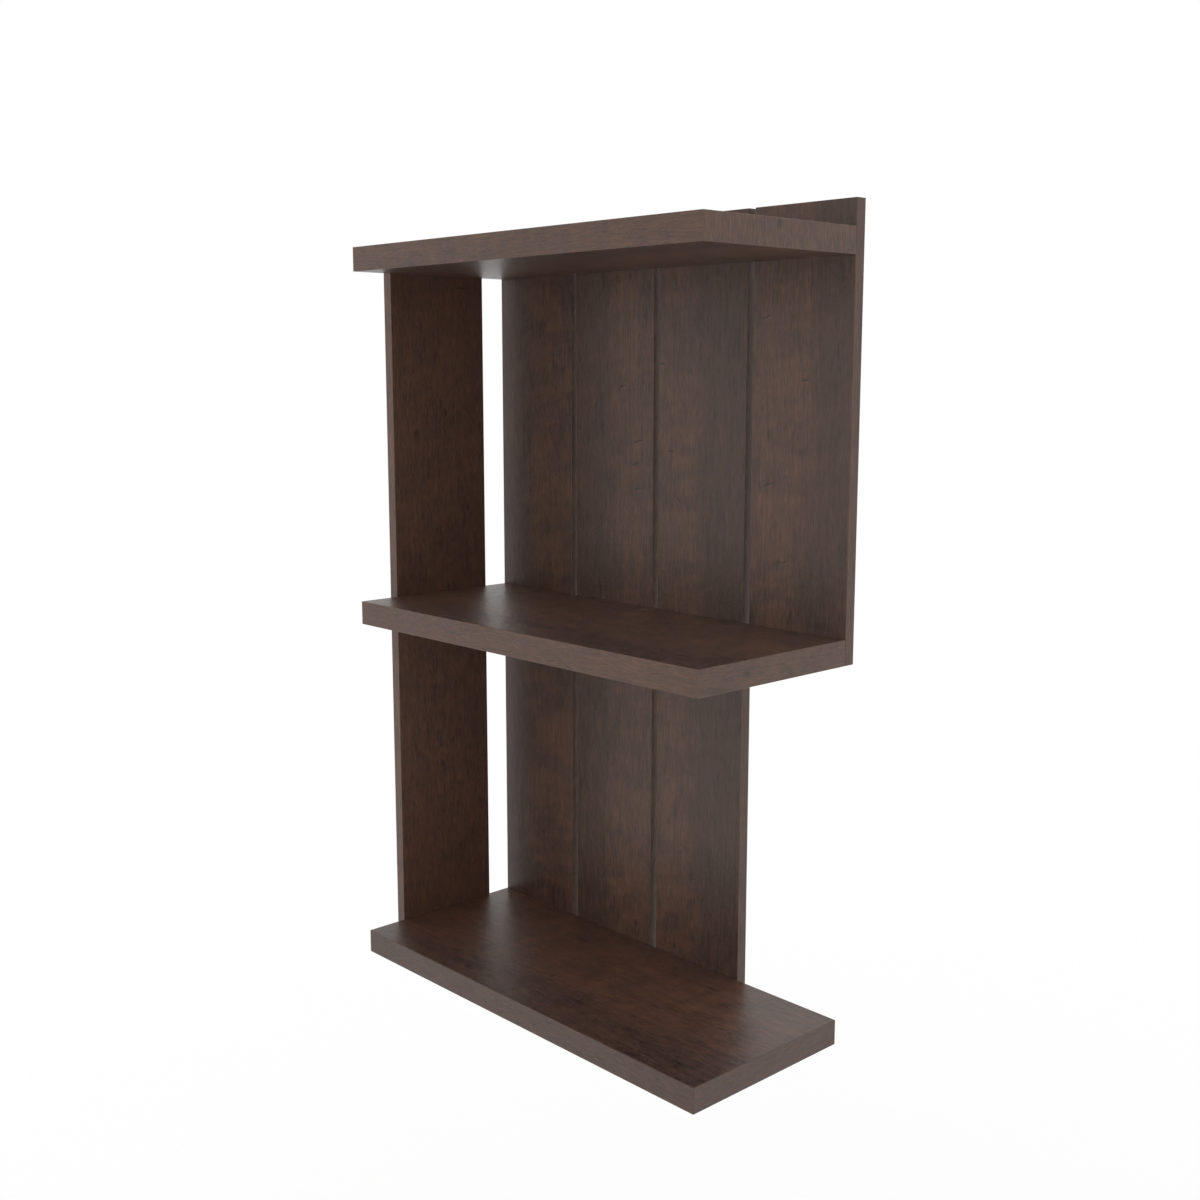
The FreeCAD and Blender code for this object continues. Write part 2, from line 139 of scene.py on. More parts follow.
# walnut veneer under satin lacquer

walnut = {
    "cool": (0.0800, 0.0440, 0.0325),  # where the wood is dark
    "warm": (0.0800, 0.0405, 0.0252),  # where it is light
    "hueRange": (0.75, 1.15),  # tones that are fully cool and fully warm
    "blush": (0.22, 0.22, 0.30),  # how far red, green and blue each vary on their own
    "drift": 0.008,  # how far the fibres wander sideways, in metres
    "cloudRange": (0.36, 0.64),  # noise values that are fully dark and fully light
    "curlRange": (0.40, 0.60),
    "curlTilt": 0.26,  # radians up to the right
    "curlBeside": 0.3,  # strength of the curl beside the heartwood
    "rimLine": 0.0004,  # a plank's long edges have a warmer strip, solid up to here
    "rimWidth": 0.0007,
    "rimLift": 0.04,
}

# how long, wide and deep each noise's patches are, with detail and roughness where they aren't the usual
patches = {
    "drift": {"size": (0.240, 0.060, 0.060)},
    "heart": {"size": (0.900, 0.060, 0.060)},
    "wobble": {"size": (0.160, 0.080, 0.080)},
    "cloud": {"size": (0.110, 0.028, 0.028), "detail": 3.0},
    "curl": {"size": (0.020, 0.048, 0.048)},
    "mottle": {"size": (0.011, 0.0075, 0.0075), "detail": 3.0, "roughness": 0.65},
    "ripple": {"size": (0.022, 0.0080, 0.0080), "detail": 4.0, "roughness": 0.62},
    "streak": {"size": (0.050, 0.0026, 0.0026), "detail": 3.0, "roughness": 0.6},
    "fibre": {"size": (0.011, 0.0008, 0.0008)},
    "pore": {"size": (0.009, 0.0004, 0.0004), "detail": 1.0},
    "smudge": {"size": (0.110, 0.009, 0.009), "detail": 3.0},
    "vein": {"size": (0.090, 0.034, 0.034), "detail": 4.0},
    "blush": {"size": (0.030, 0.014, 0.014), "detail": 3.0, "roughness": 0.6},
    "ragged": {"size": (0.004, 0.004, 0.004)},
    "wear": {"size": (0.030, 0.030, 0.030), "detail": 3.0},
}

# how much each layer of the figure lightens and darkens the wood
broadLayers = ("heart", "cloud", "curl")
figure = {
    "heart": 0.32,
    "cloud": 0.10,
    "curl": 0.24,
    "mottle": 0.0,
    "ripple": 0.86,
    "streak": 1.12,
    "fibre": 1.45,
}

# what a board has where its own look says nothing else
plainLook = {
    "tone": 1.0,  # lightness of the whole board
    "paintedShadeToRight": 0.0,  # painted shade: the change of tone for each metre to the right
    "tint": (1.0, 1.0, 1.0),
    "quiet": 1.0,  # strength of the fine figure beside the heartwood
    "figure": {},
    "waveSize": (0.030, 0.012, 0.012),
    "wave": 0.0022,  # how far the fibres wave sideways, in metres
    "smudge": 0.40,
    "relief": 7.0,  # how high the mottle stands, in pore depths
    "knots": (),
    "dashes": (),
}

grainTurn = {
    "X": (0.0, 0.0, 0.0),
    "Y": (0.0, 0.0, -math.pi / 2),
    "Z": (0.0, math.pi / 2, 0.0),
}
sideways = {"X": (0.0, 1.0, 1.0), "Y": (1.0, 0.0, 1.0), "Z": (1.0, 1.0, 0.0)}
acrossGrain = (0.0, 0.7071, 0.7071)  # turns a pattern on the board's faces and edges alike
apartFrom = (7.3, 2.1, 5.7)  # keeps noises on the same fibres from repeating each other


def faceDistances(tree, place, low, high):
    # distances to a box's three pairs of faces: half its size less the distance from its middle
    middle = [(a + b) / 2 for a, b in zip(low, high)]
    half = [(b - a) / 2 for a, b in zip(low, high)]
    centred = calcVector(tree, "ABSOLUTE", calcVector(tree, "SUBTRACT", place, middle))
    return splitVector(tree, calcVector(tree, "SUBTRACT", half, centred))


def edgeDistance(tree, x, y, z):
    # distance to the nearest edge of the box: the second smallest of the three
    nearer = calc(tree, "MINIMUM", x, y)
    farther = calc(tree, "MAXIMUM", x, y)
    return calc(tree, "MAXIMUM", nearer, calc(tree, "MINIMUM", farther, z))


knotShape = {
    "stretch": 1.3,  # length over width
    "dark": 0.7,
    "core": 0.2,  # fully dark up to this share of its size
    "edge": 1.4,  # and clear from this one
    "narrow": 0.45,  # the smaller, the farther off the fibres feel the knot
    "push": 0.75,
}


def flowRoundKnots(tree, place, look):
    # fibres part round a knot: the sideways distance d from it shrinks to d * (1 - push * exp(-w * w))
    # w is the distance from the knot, in units of an ellipse stretched along the grain, times narrow
    moved, dark = place, 0.0
    across = sideways[look["grain"]]
    for knot in look["knots"]:
        knot = {**knotShape, **knot}
        radii = [knot["size"] * (1.0 if side else knot["stretch"]) for side in across]
        away = calcVector(tree, "SUBTRACT", place, knot["at"])
        reach = ellipseReach(tree, away, radii)
        wide = calc(tree, "MULTIPLY", reach, knot["narrow"])
        fall = calc(tree, "EXPONENT", calc(tree, "MULTIPLY", calc(tree, "MULTIPLY", wide, wide), -1.0))
        push = calc(tree, "MULTIPLY", fall, knot["push"])
        aside = calcVector(tree, "MULTIPLY", away, across)
        moved = calcVector(tree, "SUBTRACT", moved, scaleVector(tree, aside, push))
        spot = remap(tree, reach, knot["core"], knot["edge"], knot["dark"], 0.0)
        dark = calc(tree, "MAXIMUM", dark, spot)
    return moved, dark


flecks = {
    "cell": (0.060, 0.050, 0.050),  # one fleck at most in each
    "radii": (0.0010, 0.0040, 0.0040),
    "tilt": (-0.2, 0.9),  # radians, from one cell to another
    "shown": (0.35, 0.75),  # cells below the first have none, above the second a full one
    "core": 0.35,
    "edge": 1.1,
    "paintedHighlightAside": 1.3,  # a painted highlight on one side of each fleck lies this many radii off
    "paintedHighlightEdge": 1.0,
    "paintedHighlight": 0.5,
}


def fleckMarks(tree, fibres):
    # a loose scatter of short dashes across the grain, each tilted by its cell's own number
    # each is dark, with a painted highlight on one side
    radii, core = flecks["radii"], flecks["core"]
    cells = calcVector(tree, "DIVIDE", fibres, flecks["cell"])
    scatter = addNode(tree, "ShaderNodeTexVoronoi")
    feed(tree, scatter.inputs["Vector"], cells)
    scatter.inputs["Scale"].default_value = 1.0
    own = addNode(tree, "ShaderNodeSeparateColor")
    feed(tree, own.inputs[0], scatter.outputs["Color"])
    inCell = calcVector(tree, "SUBTRACT", cells, scatter.outputs["Position"])
    away = calcVector(tree, "MULTIPLY", inCell, flecks["cell"])
    tilt = remap(tree, own.outputs[0], 0.0, 1.0, *flecks["tilt"], "LINEAR")
    spot = turnVector(tree, away, tilt, "AXIS_ANGLE", acrossGrain)
    beside = calcVector(tree, "ADD", spot, (flecks["paintedHighlightAside"] * radii[0], 0.0, 0.0))
    shown = remap(tree, own.outputs[1], *flecks["shown"])
    dark = remap(tree, ellipseReach(tree, spot, radii), core, flecks["edge"], 1.0, 0.0)
    # painted highlight: a light patch on one side of each fleck
    light = remap(tree, ellipseReach(tree, beside, radii), core, flecks["paintedHighlightEdge"], flecks["paintedHighlight"], 0.0)
    return calc(tree, "MULTIPLY", dark, shown), calc(tree, "MULTIPLY", light, shown)


dashShape = {
    "X": (1.0, 1.0, 0.22),  # shares of its half length in x, y and z, by the face that it is on
    "Y": (1.0, 1.0, 0.22),
    "Z": (1.0, 0.30, 1.0),
    "ragged": 0.0045,  # how far its outline strays, in metres
    "core": 0.2,
    "edge": 1.4,
    "dark": 0.85,
    # painted highlight on one side of each dash: its strength and how far off it lies
    "paintedHighlight": 0.55,
    "paintedHighlightAside": 1.5,
}


def dashMarks(tree, place, look):
    # single dashes at known places: ellipses of half length and half thickness, dark with a painted
    # highlight on one side
    dark, light = 0.0, 0.0
    if not look["dashes"]:
        return dark, light
    stray = noiseVector(tree, place, **patches["ragged"])
    place = calcVector(tree, "ADD", place, scaleVector(tree, stray, dashShape["ragged"]))
    core, edge = dashShape["core"], dashShape["edge"]
    for at, tilt, length in look["dashes"]:
        away = calcVector(tree, "SUBTRACT", place, at)
        spot = turnVector(tree, away, -tilt, look["face"] + "_AXIS")
        radii = [length * share for share in dashShape[look["face"]]]
        aside = [dashShape["paintedHighlightAside"] * radius if radius < length else 0.0 for radius in radii]
        beside = calcVector(tree, "ADD", spot, aside)
        mark = remap(tree, ellipseReach(tree, spot, radii), core, edge, dashShape["dark"], 0.0)
        # painted highlight on one side of the dash
        paintedHighlight = remap(tree, ellipseReach(tree, beside, radii), core, edge, dashShape["paintedHighlight"], 0.0)
        dark = calc(tree, "MAXIMUM", dark, mark)
        light = calc(tree, "MAXIMUM", light, paintedHighlight)
    return dark, light


heartShape = {
    "noiseRange": (0.38, 0.60),
    "stray": 0.014,  # how far a placed band's sides wander, in metres
    "core": 0.5,  # fully heartwood up to this share of its half width
    "edge": 1.5,
}


def heartBand(tree, place, fibres, look):
    # warm heartwood: a band at the place the look gives, or wherever a long narrow noise puts it
    if "heart" not in look:
        return remap(tree, noise(tree, fibres, **patches["heart"]), *heartShape["noiseRange"])
    heart, stray = look["heart"], heartShape["stray"]
    wobble = remap(tree, noise(tree, fibres, **patches["wobble"]), *noiseSpan, -stray, stray, "LINEAR")
    across = calc(tree, "ADD", splitVector(tree, place)[heart["axis"]], wobble)
    away = calc(tree, "ABSOLUTE", calc(tree, "SUBTRACT", across, heart["middle"]))
    core, edge = heartShape["core"] * heart["half"], heartShape["edge"] * heart["half"]
    return remap(tree, away, core, edge, 1.0, 0.0)


def alongGrain(tree, place, look):
    # x runs along the grain, and the pattern starts at a place of the board's own
    turned = addNode(tree, "ShaderNodeMapping")
    turned.inputs["Rotation"].default_value = grainTurn[look["grain"]]
    turned.inputs["Location"].default_value = look["from"]
    feed(tree, turned.inputs["Vector"], place)
    board = turned.outputs[0]
    # the fibres wander and wave: two noises, each half a unit either way, shift a point across the grain
    fibres = board
    for size, reach in ((patches["drift"]["size"], walnut["drift"]), (look["waveSize"], look["wave"])):
        sway = noiseVector(tree, board, size=size)
        shift = calcVector(tree, "MULTIPLY", sway, (0.0, 2 * reach, 2 * reach))
        fibres = calcVector(tree, "ADD", fibres, shift)
    return board, fibres


def figureLayers(tree, place, fibres, apart, look):
    # from broad to fine: heartwood, clouds, curl across the grain, mottle, ripple, streaks and fibres
    heart = heartBand(tree, place, fibres, look)
    tilted = turnVector(tree, apart, walnut["curlTilt"], "AXIS_ANGLE", acrossGrain)
    curl = remap(tree, noise(tree, tilted, **patches["curl"]), *walnut["curlRange"], -0.5, 0.5)
    curlReach = remap(tree, heart, 0.0, 1.0, walnut["curlBeside"], 1.0)
    return {
        "heart": heart,
        "cloud": remap(tree, noise(tree, fibres, **patches["cloud"]), *walnut["cloudRange"]),
        "curl": calc(tree, "MULTIPLY_ADD", curl, curlReach, 0.5),
        "mottle": noise(tree, apart, **patches["mottle"]),
        "ripple": noise(tree, apart, **patches["ripple"]),
        "streak": noise(tree, fibres, **patches["streak"]),
        "fibre": noise(tree, fibres, **patches["fibre"]),
    }


def boardTone(tree, place, layers, look):
    # the board's own tone, and each layer's swing about its middle of 0.5
    weights = {**figure, **look["figure"]}
    # painted shade: the tone slopes darker or lighter towards the right
    broad = calc(tree, "MULTIPLY_ADD", splitVector(tree, place)["X"], look["paintedShadeToRight"], look["tone"])
    fine = 0.0
    for layer, value in layers.items():
        swing = calc(tree, "MULTIPLY", calc(tree, "SUBTRACT", value, 0.5), weights[layer])
        if layer in broadLayers:
            broad = calc(tree, "ADD", swing, broad)
        else:
            fine = calc(tree, "ADD", swing, fine)
    quiet = remap(tree, layers["heart"], 0.0, 1.0, look["quiet"], 1.0)
    return calc(tree, "MULTIPLY_ADD", fine, quiet, broad)


def boardColour(tree, tone, apart, sides, look):
    hue = remap(tree, tone, *walnut["hueRange"])
    if "rim" in look:
        rim = remap(tree, sides[look["rim"]], walnut["rimLine"], walnut["rimWidth"], 1.0, 0.0)
        hue = calc(tree, "MAXIMUM", hue, rim)
        tone = calc(tree, "MULTIPLY_ADD", rim, walnut["rimLift"], tone)
    colour = scaleVector(tree, blendColour(tree, hue, walnut["cool"], walnut["warm"]), tone)
    blush = noiseVector(tree, apart, **patches["blush"])
    tint = calcVector(tree, "MULTIPLY_ADD", blush, walnut["blush"], look["tint"])
    return calcVector(tree, "MULTIPLY", colour, tint)


marks = {
    "colour": (0.022, 0.0140, 0.0110),
    "pore": 0.35,  # how dark each kind is; the others' are in the looks and shapes
    "vein": 0.25,
    "fleck": 0.50,
    "poreRange": (0.62, 0.74),
    "smudgeRange": (0.58, 0.78),
    "veinWidth": 0.012,
    "veinClouds": (0.5, 0.1),  # veins show in the dark of the clouds
    "paintedHighlight": 0.5,  # how much lighter a mark's painted highlight is
}


def drawMarks(tree, colour, masks, paintedHighlight):
    # the darkest mark at a point shows, over the painted highlights
    dark = 0.0
    for mask in masks:
        dark = calc(tree, "MAXIMUM", dark, mask)
    colour = scaleVector(tree, colour, calc(tree, "MULTIPLY_ADD", paintedHighlight, marks["paintedHighlight"], 1.0))
    return blendColour(tree, dark, colour, marks["colour"])


def veinLines(tree, board, cloud):
    # a thin line wherever a winding noise passes through its middle value
    ridge = calc(tree, "ABSOLUTE", calc(tree, "SUBTRACT", noise(tree, board, **patches["vein"]), 0.5))
    line = remap(tree, ridge, 0.0, marks["veinWidth"], 1.0, 0.0)
    return calc(tree, "MULTIPLY", line, remap(tree, cloud, *marks["veinClouds"]))


lacquer = {
    "specular": 0.4217,  # as an IOR of 1.45, which the export would leave out
    "roughness": 0.36,
    "fibreRange": (0.25, 0.75),
    "fibreRough": (-0.03, 0.04),
    "poreRough": 0.10,
    "wornRough": 0.08,
    "rubbed": (0.160, 0.0920, 0.0580),  # where it is worn thin
    "worn": 0.14,
    "wornLine": 0.0003,  # fully worn up to this distance from an edge
    "wornWidth": 0.0020,
    "wornPatches": (0.2, 1.0),  # least and most wear along an edge
    "poreDepth": 0.00015,
    "fibreHeight": 0.35,  # heights in pore depths
    "fleckDepth": 0.6,
    "bump": 0.35,
}


def lacquerBoard(tree, shader, place, colour, sides, layers, pore, fleck, look):
    # rubbed a little thin along the edges, and following the pores, fibres and mottle
    edge = remap(tree, edgeDistance(tree, *sides), lacquer["wornLine"], lacquer["wornWidth"], 1.0, 0.0)
    patchy = remap(tree, noise(tree, place, **patches["wear"]), *noiseMiddle, *lacquer["wornPatches"])
    worn = calc(tree, "MULTIPLY", edge, patchy)
    thin = calc(tree, "MULTIPLY", worn, lacquer["worn"])
    feed(tree, shader.inputs["Base Color"], blendColour(tree, thin, colour, lacquer["rubbed"]))

    rough = remap(tree, layers["fibre"], *lacquer["fibreRange"], *lacquer["fibreRough"], "LINEAR")
    rough = calc(tree, "ADD", rough, lacquer["roughness"])
    rough = calc(tree, "MULTIPLY_ADD", pore, lacquer["poreRough"], rough)
    rough = calc(tree, "MULTIPLY_ADD", worn, lacquer["wornRough"], rough)
    feed(tree, shader.inputs["Roughness"], rough)
    shader.inputs["Specular IOR Level"].default_value = lacquer["specular"]

    height = calc(tree, "SUBTRACT", calc(tree, "MULTIPLY", layers["fibre"], lacquer["fibreHeight"]), pore)
    height = calc(tree, "SUBTRACT", height, calc(tree, "MULTIPLY", fleck, lacquer["fleckDepth"]))
    height = calc(tree, "MULTIPLY_ADD", layers["mottle"], look["relief"], height)
    addBump(tree, shader, height, lacquer["poreDepth"], lacquer["bump"])


def walnutMaterial(name, look, low, high):
    look = {**plainLook, **look}
    material, tree, shader, place = newMaterial(name)
    moved, knot = flowRoundKnots(tree, place, look)
    board, fibres = alongGrain(tree, moved, look)
    apart = calcVector(tree, "ADD", fibres, apartFrom)
    sides = faceDistances(tree, place, low, high)
    layers = figureLayers(tree, place, fibres, apart, look)
    tone = boardTone(tree, place, layers, look)
    colour = boardColour(tree, tone, apart, sides, look)

    pore = remap(tree, noise(tree, fibres, **patches["pore"]), *marks["poreRange"])
    smudge = remap(tree, noise(tree, fibres, **patches["smudge"]), *marks["smudgeRange"])
    vein = veinLines(tree, board, layers["cloud"])
    fleck, fleckHighlight = fleckMarks(tree, fibres)
    dash, dashHighlight = dashMarks(tree, place, look)
    # painted highlights beside the flecks and dashes
    paintedHighlight = calc(tree, "MAXIMUM", fleckHighlight, dashHighlight)
    masks = [
        calc(tree, "MULTIPLY", pore, marks["pore"]),
        calc(tree, "MULTIPLY", smudge, look["smudge"]),
        calc(tree, "MULTIPLY", vein, marks["vein"]),
        calc(tree, "MULTIPLY", fleck, marks["fleck"]),
        dash,
        knot,
    ]
    colour = drawMarks(tree, colour, masks, paintedHighlight)
    lacquerBoard(tree, shader, place, colour, sides, layers, pore, fleck, look)
    return material


def dress(nodeName, material):
    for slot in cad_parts[nodeName].material_slots:
        slot.material = material


def dressBoards(looks):
    for nodeName, look in looks.items():
        low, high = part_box(nodeName)
        dress(nodeName, walnutMaterial(nodeName + "_walnut", look, tuple(low), tuple(high)))


# shelves: painted shade darkens the boards towards the right, heartwood and painted shade darken them
# towards the front, and the bands' streaks slant

shelf = {
    "grain": "X",
    # partly heartwood, partly painted shade: lighter along the back half, darker towards the front
    "heart": {"axis": "Y", "middle": -0.080, "half": 0.072},
    "figure": {
        "heart": 0.36, "cloud": 0.12, "curl": 0.20,
        "mottle": 0.75, "ripple": 0.70, "streak": 1.25,
    },
}
band = {
    "waveSize": (0.060, 0.016, 0.016),
    "wave": 0.0075,
    "figure": {
        "heart": 0.08, "cloud": 0.06, "curl": 0.16,
        "ripple": 0.40, "streak": 1.00, "fibre": 1.60,
    },
}
lowBand = {
    **band,
    "figure": {
        "heart": 0.05, "cloud": 0.04, "curl": 0.12,
        "ripple": 0.30, "streak": 0.55, "fibre": 1.40,
    },
}
sideFigure = {
    "heart": 0.02, "cloud": 0.04, "curl": 0.16,
    "mottle": 0.40, "ripple": 0.42, "streak": 0.90, "fibre": 2.00,
}

topShelf = {
    "top_shelf": {
        **shelf, "from": (0.31, 1.07, 0.54),
        # painted shade: the tone falls towards the right
        "tone": 0.92, "paintedShadeToRight": -0.3, "tint": (0.98, 1.03, 1.06), "relief": 13.0,
    },
    "top_shelf_front_band": {**band, "grain": "X", "from": (1.37, 2.21, 0.93)},
    "top_shelf_rear_band": {**band, "grain": "X", "from": (2.14, 0.42, 1.77)},
    "top_shelf_left_band": {**band, "grain": "Y", "from": (0.88, 1.63, 2.35)},
    "top_shelf_right_band": {
        "grain": "Z", "from": (1.91, 0.27, 1.18), "figure": sideFigure,
        "knots": [{"at": (0.254, -0.120, 0.059), "size": 0.0040}],
    },
}
dressBoards(topShelf)

middleShelf = {
    "middle_shelf": {
        **shelf, "from": (2.63, 0.38, 1.29),
        # painted shade: the tone falls towards the right
        "tone": 0.98, "paintedShadeToRight": -0.6, "tint": (1.0, 1.02, 1.05), "relief": 14.0,
        "figure": {**shelf["figure"], "mottle": 1.20, "streak": 1.60},
    },
    "middle_shelf_front_band": {**band, "grain": "X", "from": (0.45, 1.84, 2.07), "tone": 1.10},
    "middle_shelf_rear_band": {**band, "grain": "X", "from": (1.12, 2.56, 0.71)},
    "middle_shelf_left_band": {**band, "grain": "Y", "from": (2.29, 0.95, 0.36)},
    "middle_shelf_right_band": {
        **band, "grain": "Y", "from": (0.67, 1.41, 1.83),
        "knots": [{"at": (0.254, -0.153, -0.330), "size": 0.0042, "dark": 0.6}],
    },
}
dressBoards(middleShelf)

bottomShelf = {
    "bottom_shelf": {
        **shelf, "from": (1.74, 2.03, 0.22),
        # painted shade: the tone falls towards the right
        "tone": 0.89, "paintedShadeToRight": -0.4, "tint": (1.04, 0.975, 0.96), "relief": 8.0,
        "face": "Z",
        "dashes": [  # place, tilt and half length of each
            ((-0.0165, -0.145, -0.6985), 1.50, 0.0070),
            ((0.027, -0.120, -0.6985), 0.80, 0.0050),
            ((-0.064, -0.058, -0.6985), 0.05, 0.0110),
            ((0.121, -0.048, -0.6985), 0.08, 0.0120),
            ((0.156, -0.070, -0.6985), 0.60, 0.0060),
            ((0.191, -0.110, -0.6985), 0.30, 0.0050),
            ((-0.109, -0.178, -0.6985), -0.30, 0.0070),
        ],
    },
    "bottom_shelf_front_band": {**lowBand, "grain": "X", "from": (2.48, 0.61, 1.56), "tone": 0.84},
    "bottom_shelf_rear_band": {**band, "grain": "X", "from": (0.19, 1.35, 2.44)},
    "bottom_shelf_left_band": {**band, "grain": "Y", "from": (1.58, 2.17, 0.83)},
    "bottom_shelf_right_band": {**lowBand, "grain": "Y", "from": (0.96, 0.49, 1.62), "tone": 0.86},
}
dressBoards(bottomShelf)
print("shelves dressed")


# planks: upright grain, each with its own heartwood, knots and dashes

backPlank = {"grain": "Z", "rim": "X", "quiet": 0.7, "face": "Y"}
planks = {
    "left_back_plank": {
        **backPlank, "from": (0.52, 1.28, 2.11), "tone": 0.88, "quiet": 0.55,
        "heart": {"axis": "X", "middle": -0.165, "half": 0.045},
        "figure": {"heart": 0.22, "ripple": 0.72, "streak": 0.90, "fibre": 1.10},
    },
    "left_centre_back_plank": {
        **backPlank, "from": (1.83, 0.34, 0.97), "tone": 0.95,
        "heart": {"axis": "X", "middle": -0.035, "half": 0.034},
        "figure": {"heart": 0.27},
        "dashes": [
            ((-0.051, -0.0127, -0.083), -0.26, 0.0060),
            ((-0.026, -0.0127, -0.140), -0.30, 0.0075),
            ((-0.032, -0.0127, -0.165), -0.26, 0.0060),
            ((-0.027, -0.0127, -0.191), -0.20, 0.0065),
        ],
        "knots": [
            {"at": (-0.027, -0.0127, -0.679), "size": 0.0034},
            {"at": (-0.053, -0.0127, -0.577), "size": 0.0070, "dark": 0.3},
        ],
    },
    "right_centre_back_plank": {
        **backPlank, "from": (2.37, 1.76, 0.45), "tone": 0.97,
        "heart": {"axis": "X", "middle": 0.030, "half": 0.030},
        "dashes": [
            ((0.008, -0.0127, -0.059), 0.10, 0.0055),
            ((0.021, -0.0127, -0.149), 0.15, 0.0060),
            ((0.033, -0.0127, -0.199), 0.90, 0.0045),
        ],
        "knots": [{"at": (0.033, -0.0127, -0.688), "size": 0.0032}],
    },
    "right_back_plank": {
        **backPlank, "from": (0.78, 2.42, 1.31),
        "heart": {"axis": "X", "middle": 0.165, "half": 0.036},
        "dashes": [
            ((0.150, -0.0127, -0.015), -0.30, 0.0060),
            ((0.199, -0.0127, -0.075), 0.10, 0.0050),
            ((0.155, -0.0127, -0.176), -0.26, 0.0065),
            ((0.176, -0.0127, -0.251), -0.26, 0.0055),
        ],
        "knots": [{"at": (0.169, -0.0127, -0.252), "size": 0.0032, "dark": 0.6}],
    },
    "side_plank": {
        "grain": "Z", "from": (1.46, 0.82, 2.58), "tone": 1.05, "tint": (1.03, 1.0, 0.985),
        "figure": sideFigure, "smudge": 0.15,
        "knots": [
            {"at": (-0.254, -0.137, -0.135), "size": 0.0034},
            {"at": (-0.254, -0.109, -0.521), "size": 0.0036},
        ],
        "face": "X",
        "dashes": [
            ((-0.254, -0.072, 0.026), 0.0, 0.0080),
            ((-0.254, -0.139, -0.066), 1.40, 0.0040),
        ],
    },
}
dressBoards(planks)
print("planks dressed")


# fasteners and hangers

zinc = {
    "bright": (0.66, 0.66, 0.64),
    "dull": (0.50, 0.50, 0.50),
    "plateShade": 0.72,
    "screwShade": 1.0,
    "patch": {"size": (0.004, 0.004, 0.004), "detail": 3.0},
    "grain": {"size": (0.0003, 0.0003, 0.006)},
    "grainDepth": 0.00003,
    "roughness": 0.32,
    "roughSwing": (-0.05, 0.10),
    "bump": 0.3,
}


def zincMaterial(name, shade):
    material, tree, shader, place = newMaterial(name)
    patch = remap(tree, noise(tree, place, **zinc["patch"]), *noiseMiddle)
    brushed = noise(tree, place, **zinc["grain"])
    dull, bright = (tuple(shade * part for part in zinc[end]) for end in ("dull", "bright"))
    feed(tree, shader.inputs["Base Color"], blendColour(tree, patch, dull, bright))
    shader.inputs["Metallic"].default_value = 1.0
    swing = remap(tree, brushed, *noiseSpan, *zinc["roughSwing"], "LINEAR")
    feed(tree, shader.inputs["Roughness"], calc(tree, "ADD", swing, zinc["roughness"]))
    addBump(tree, shader, brushed, zinc["grainDepth"], zinc["bump"])
    return material


beech = {
    "pale": (0.66, 0.46, 0.29),
    "warm": (0.54, 0.34, 0.19),
    "fleckColour": (0.36, 0.20, 0.10),
    "fleckRange": (0.62, 0.72),
    "fleckStrength": 0.6,
    "grain": {"size": (0.0008, 0.020, 0.0008)},
    "fleck": {"size": (0.0006, 0.003, 0.0006), "detail": 1.0},
    "grainDepth": 0.00005,
    "roughRange": (0.62, 0.72),
    "bump": 0.3,
}


def beechMaterial(name):
    material, tree, shader, place = newMaterial(name)
    grain = remap(tree, noise(tree, place, **beech["grain"]), *noiseSpan)
    fleck = noise(tree, place, **beech["fleck"])
    fleck = remap(tree, fleck, *beech["fleckRange"], 0.0, beech["fleckStrength"])
    colour = blendColour(tree, grain, beech["warm"], beech["pale"])
    colour = blendColour(tree, fleck, colour, beech["fleckColour"])
    feed(tree, shader.inputs["Base Color"], colour)
    rough = remap(tree, grain, 0.0, 1.0, *beech["roughRange"], "LINEAR")
    feed(tree, shader.inputs["Roughness"], rough)
    addBump(tree, shader, grain, beech["grainDepth"], beech["bump"])
    return material


screwCap = {
    "deep": (0.060, 0.033, 0.021),
    "worn": (0.085, 0.047, 0.030),
    "patch": {"size": (0.005, 0.005, 0.005)},
    "texture": {"size": (0.0004, 0.0004, 0.0004)},
    "textureDepth": 0.00004,
    "roughRange": (0.46, 0.58),
    "bump": 0.35,
}


def capMaterial(name):
    material, tree, shader, place = newMaterial(name)
    texture = noise(tree, place, **screwCap["texture"])
    patch = remap(tree, noise(tree, place, **screwCap["patch"]), *noiseMiddle)
    feed(tree, shader.inputs["Base Color"], blendColour(tree, patch, screwCap["deep"], screwCap["worn"]))
    rough = remap(tree, texture, *noiseSpan, *screwCap["roughRange"], "LINEAR")
    feed(tree, shader.inputs["Roughness"], rough)
    addBump(tree, shader, texture, screwCap["textureDepth"], screwCap["bump"])
    return material


zincPlate = zincMaterial("zinc_plate", zinc["plateShade"])
for nodeName in ("left_hanger", "right_hanger"):
    dress(nodeName, zincPlate)
zincScrew = zincMaterial("zinc_screw", zinc["screwShade"])
for nodeName in ("bottom_shelf_screws", "middle_shelf_screws", "top_shelf_screws", "side_plank_screws",
                 "hanger_plate_screws"):
    dress(nodeName, zincScrew)
beechDowel = beechMaterial("beech_dowel")
for nodeName in ("bottom_shelf_dowels", "middle_shelf_dowels", "top_shelf_dowels", "side_plank_dowels"):
    dress(nodeName, beechDowel)
dress("side_plank_screw_caps", capMaterial("screw_cap"))
print("fasteners dressed")


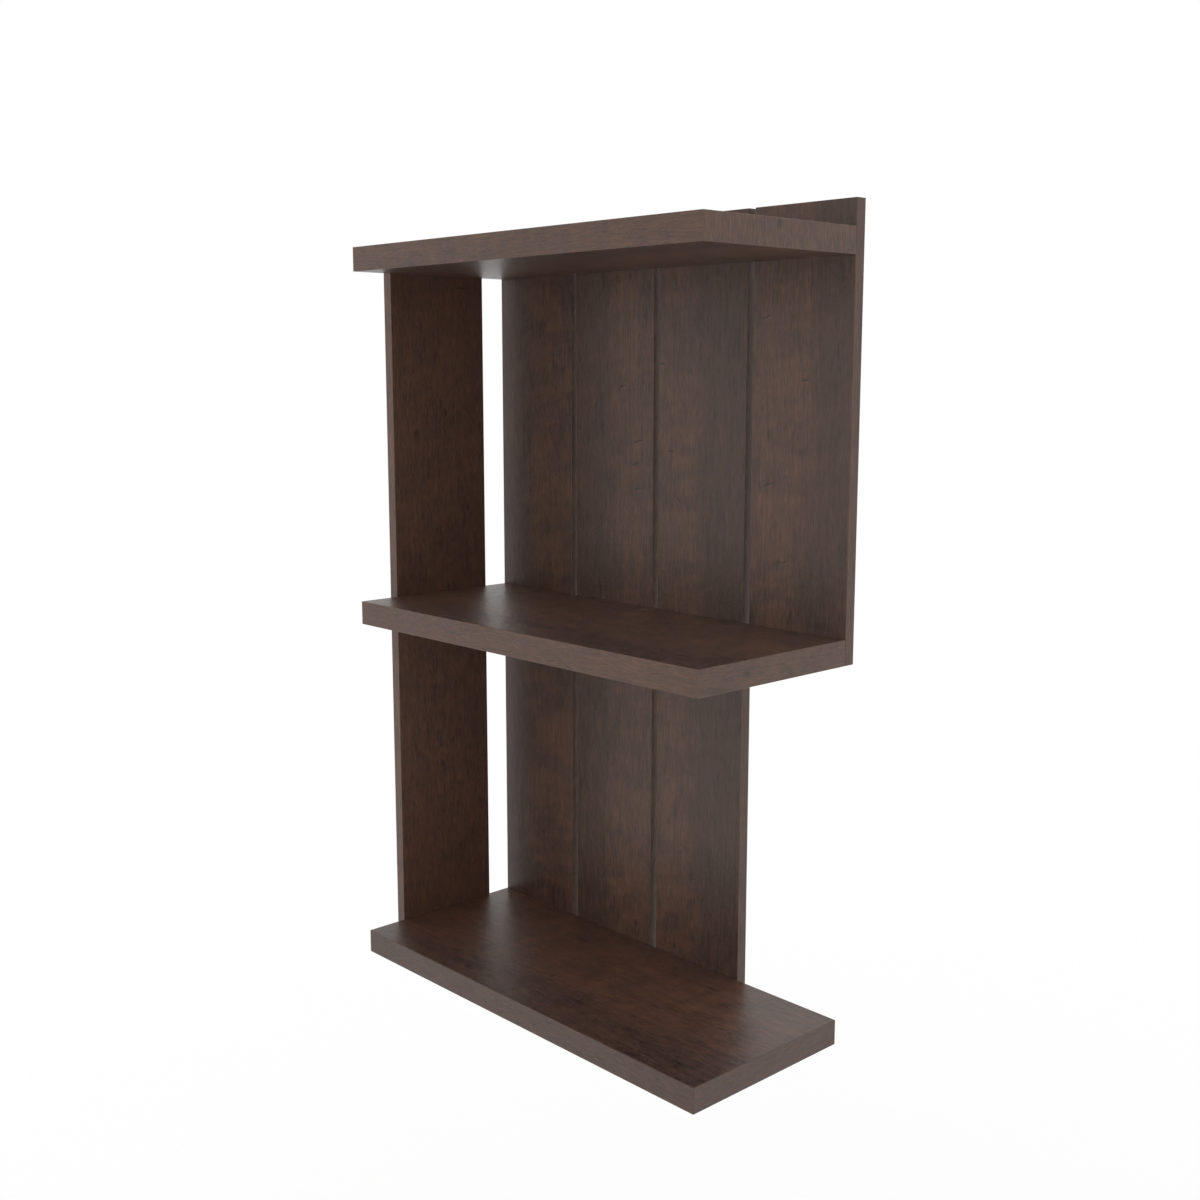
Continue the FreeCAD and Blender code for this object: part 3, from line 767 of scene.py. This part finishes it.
# floor, light and camera

studio = {
    "floorHeight": -1.72,  # the shelf hangs about a metre above it
    "floorHalf": 9.0,
    "floorCells": 12,
    "white": (1.0, 1.0, 1.0, 1.0),
    "light": 1.0,
}

# floor: points (u, v, h) on an even square grid at one height h
side = np.linspace(-studio["floorHalf"], studio["floorHalf"], studio["floorCells"] + 1)
u, v = np.meshgrid(side, side, indexing="ij")
points = np.stack([u, v, np.full_like(u, studio["floorHeight"])], axis=-1).reshape(-1, 3)
count = studio["floorCells"] + 1
first = (np.arange(count - 1)[:, None] * count + np.arange(count - 1)[None, :]).ravel()
faces = np.stack([first, first + count, first + count + 1, first + 1], axis=-1)
floorMesh = bpy.data.meshes.new("floor")
floorMesh.from_pydata(points.tolist(), [], faces.tolist())
floor = bpy.data.objects.new("floor", floorMesh)
bpy.context.scene.collection.objects.link(floor)
floorMaterial = bpy.data.materials.new("floor_white")
floorMaterial.use_nodes = True
floorShader = floorMaterial.node_tree.nodes["Principled BSDF"]
floorShader.inputs["Base Color"].default_value = studio["white"]
floorShader.inputs["Roughness"].default_value = 1.0
floorShader.inputs["Specular IOR Level"].default_value = 0.0
floorMesh.materials.append(floorMaterial)

world = bpy.data.worlds.new("soft_white")
world.use_nodes = True
background = world.node_tree.nodes["Background"]
background.inputs["Color"].default_value = studio["white"]
background.inputs["Strength"].default_value = studio["light"]
bpy.context.scene.world = world
bpy.context.scene.view_settings.view_transform = "Standard"

view = {
    "place": (1.0829, -1.1030, -0.0654),
    "turn": 47.0,  # degrees to the left of straight at the wall
    "dip": 9.0,  # degrees below level
    "lens": 43.57,
    "sensor": 36.0,
}
cameraData = bpy.data.cameras.new("photo_camera")
cameraData.lens = view["lens"]
cameraData.sensor_width = view["sensor"]
camera = bpy.data.objects.new("photo_camera", cameraData)
camera.location = view["place"]
camera.rotation_euler = (math.radians(90.0 - view["dip"]), 0.0, math.radians(view["turn"]))
bpy.context.scene.collection.objects.link(camera)
bpy.context.scene.camera = camera
print("studio and camera placed")
